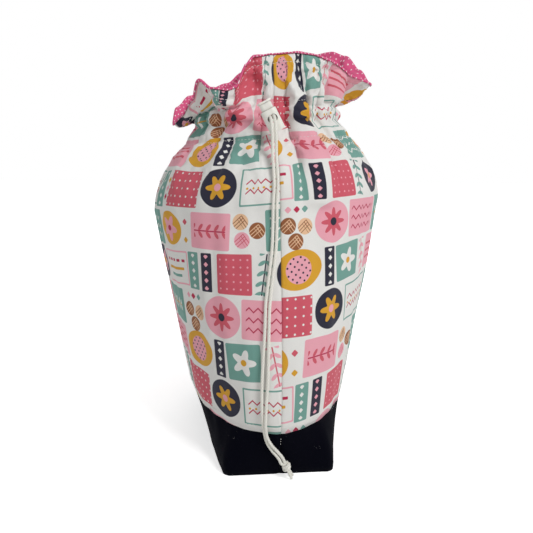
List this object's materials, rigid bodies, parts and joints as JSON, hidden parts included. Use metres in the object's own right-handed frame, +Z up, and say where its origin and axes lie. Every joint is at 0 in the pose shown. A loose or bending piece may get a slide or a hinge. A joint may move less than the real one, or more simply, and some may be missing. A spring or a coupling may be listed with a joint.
{
  "type": "drawstring knitting bag",
  "caption": "Free-standing drawstring project bag with a boxed canvas base, a printed cotton body, a frilled cinched mouth and a sprung cord lock.",
  "frame": {"origin": "middle of the base's underside, on the surface that the bag stands on", "axes": "+Z up through the mouth; -Y is the front, with the side seam, the casing's opening and the cord lock; +X is the right"},
  "size_m": [0.204, 0.2614, 0.3517],
  "materials": {
    "print_cotton": "printed quilting cotton, plain weave",
    "base_canvas": "blue-black cotton canvas",
    "fleece": "fusible fleece",
    "lining_cotton": "pink cotton with white pin dots",
    "cord_cotton": "braided cotton cord, off white",
    "lock_plastic": "moulded ivory plastic, satin",
    "spring_steel": "bright spring wire"
  },
  "bodies": {
    "bag": {"outer_panel_left": "print_cotton", "outer_panel_right": "print_cotton", "base_panel": "base_canvas", "interlining_left": "fleece", "interlining_right": "fleece", "lining_left": "lining_cotton", "lining_right": "lining_cotton", "drawstring_casing_run": "cord_cotton", "drawstring_left": "cord_cotton", "drawstring_right": "cord_cotton", "drawstring_knot": "cord_cotton", "drawstring_ends": "cord_cotton"},
    "cord_lock": {"lock_barrel": "lock_plastic", "lock_spring": "spring_steel"},
    "plunger": {"lock_plunger": "lock_plastic"}
  },
  "joints": [
    {"name": "lock_slide", "type": "slide", "parent": "bag", "child": "cord_lock", "axis": [0, -0.77, -0.638], "range_m": [0, 0.06], "deforming": ["drawstring_left", "drawstring_right"]},
    {"name": "plunger_press", "type": "slide", "parent": "cord_lock", "child": "plunger", "axis": [0.4695, 0, -0.8829], "range_m": [0, 0.003], "stiffness_N_per_m": 600, "springref_m": -0.003, "deforming": ["lock_spring"]}
  ]
}
